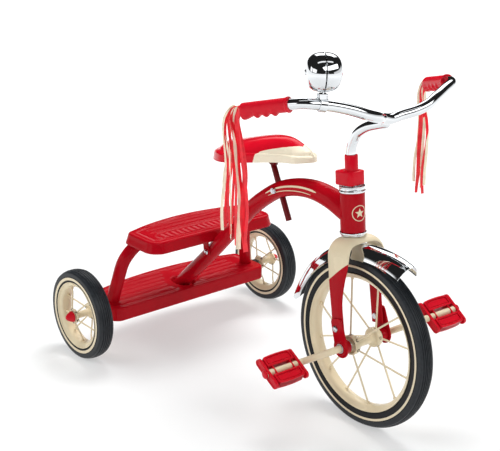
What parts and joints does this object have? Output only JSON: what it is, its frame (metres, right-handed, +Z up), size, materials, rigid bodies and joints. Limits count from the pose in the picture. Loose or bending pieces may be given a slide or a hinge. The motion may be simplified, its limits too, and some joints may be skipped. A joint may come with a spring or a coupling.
{
  "type": "children's tricycle",
  "caption": "Children's pedal tricycle with a bent tube frame, two ribbed rear steps, direct-drive front wheel, sliding saddle, bell and handlebar streamers.",
  "frame": {"origin": "on the floor under the middle of the whole length, in the middle plane", "axes": "+X forward, +Y to the rider's left, +Z up"},
  "size_m": [0.7531, 0.553, 0.6604],
  "materials": {
    "red_paint": "deep glossy red enamel over pressed and drawn steel",
    "cream_paint": "cream enamel, semi-gloss",
    "chrome": "bright chrome plate",
    "zinc": "zinc-plated steel, satin",
    "tyre": "black solid rubber with fine tread grooves",
    "red_plastic": "moulded red plastic, glossy",
    "dark_steel": "black-oxide steel, satin",
    "ribbon": "thin red and cream plastic ribbon"
  },
  "bodies": {
    "frame": {"main_tube": "red_paint", "head_tube": "red_paint", "headset_lower_cup": "chrome", "headset_upper_cup": "chrome", "upper_step": "red_paint", "lower_step": "red_paint", "rear_arch": "red_paint", "step_bracket": "red_paint", "step_bracket_bolt": "zinc", "seat_clamp_bolt": "zinc", "rear_axle": "zinc", "axle_spacer_right": "dark_steel", "axle_spacer_left": "dark_steel", "axle_cap_right": "red_plastic", "axle_cap_left": "red_plastic"},
    "rear_wheel_right": {"rear_tyre_right": "tyre", "rear_rim_right": "cream_paint", "rear_hub_right": "cream_paint"},
    "rear_wheel_left": {"rear_tyre_left": "tyre", "rear_rim_left": "cream_paint", "rear_hub_left": "cream_paint"},
    "seat": {"saddle": "red_plastic", "seat_bracket": "dark_steel", "seat_post": "red_paint"},
    "steering": {"fork": "cream_paint", "head_nut": "chrome", "head_collar": "red_plastic", "front_fender": "chrome", "fender_bolt": "zinc", "handlebar": "chrome", "fork_end_right": "red_paint", "fork_end_left": "red_paint", "fork_bolt_right": "zinc", "fork_bolt_left": "zinc", "crank_bearing_right": "zinc", "crank_bearing_left": "zinc", "grip_right": "red_plastic", "grip_left": "red_plastic", "streamer_right": "ribbon", "streamer_left": "ribbon", "bell_bracket": "chrome", "bell_dome_inner": "chrome"},
    "bell": {"bell_dome_outer": "chrome"},
    "front_wheel": {"front_tyre": "tyre", "front_rim": "cream_paint", "front_hub": "cream_paint", "crank_axle": "cream_paint", "pedal_cap_right": "red_plastic", "pedal_cap_left": "red_plastic"},
    "pedal_right": {"pedal_right": "red_plastic"},
    "pedal_left": {"pedal_left": "red_plastic"}
  },
  "joints": [
    {"name": "steer", "type": "hinge", "parent": "frame", "child": "steering", "pos_m": [0.1846, 0, 0.3416], "axis": [-0.1162, 0, 0.9932], "range_deg": [-41.3, 48.7]},
    {"name": "seat_height", "type": "slide", "parent": "frame", "child": "seat", "axis": [-0.4394, 0, 0.8983], "range_m": [-0.02, 0.03]},
    {"name": "front_wheel_spin", "type": "hinge", "parent": "steering", "child": "front_wheel", "pos_m": [0.22416, -0.00112, 0.1524], "axis": [0.0641, 0.9979, 0.0075], "continuous": true},
    {"name": "pedal_right_spin", "type": "hinge", "parent": "front_wheel", "child": "pedal_right", "pos_m": [0.15796, -0.12634, 0.1123], "axis": [0.0641, 0.9979, 0.0075], "continuous": true},
    {"name": "pedal_left_spin", "type": "hinge", "parent": "front_wheel", "child": "pedal_left", "pos_m": [0.29037, 0.1241, 0.19249], "axis": [0.0641, 0.9979, 0.0075], "continuous": true},
    {"name": "rear_wheel_right_spin", "type": "hinge", "parent": "frame", "child": "rear_wheel_right", "pos_m": [-0.2883, -0.241, 0.0889], "axis": [0, 1, 0], "continuous": true},
    {"name": "rear_wheel_left_spin", "type": "hinge", "parent": "frame", "child": "rear_wheel_left", "pos_m": [-0.2883, 0.241, 0.0889], "axis": [0, 1, 0], "continuous": true},
    {"name": "bell_turn", "type": "hinge", "parent": "steering", "child": "bell", "pos_m": [0.23753, -0.14587, 0.63143], "axis": [0.5973, 0.802, 0.0062], "continuous": true}
  ]
}
